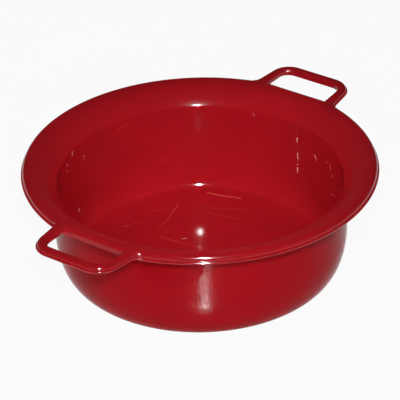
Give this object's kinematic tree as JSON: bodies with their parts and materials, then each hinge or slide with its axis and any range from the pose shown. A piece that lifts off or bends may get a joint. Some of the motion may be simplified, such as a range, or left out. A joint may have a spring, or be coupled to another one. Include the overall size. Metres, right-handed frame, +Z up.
{
  "type": "plastic bowl with handles",
  "caption": "Round moulded plastic bowl with a near-upright wall, a wide flared rim with a turned-down lip, and loop handles on opposite sides of the rim.",
  "frame": {"origin": "middle of the foot ring, on the plane that the bowl stands on", "axes": "+X from the bowl's axis towards the rear handle, +Z up along the bowl's axis"},
  "size_m": [0.465, 0.38, 0.1262],
  "materials": {
    "red_plastic": "dark red moulded plastic, glossy inside and on the rim and handles, finely grained outside"
  },
  "bodies": {
    "root": {"bowl_shell": "red_plastic", "handle_rear": "red_plastic", "handle_front": "red_plastic"}
  },
  "joints": []
}
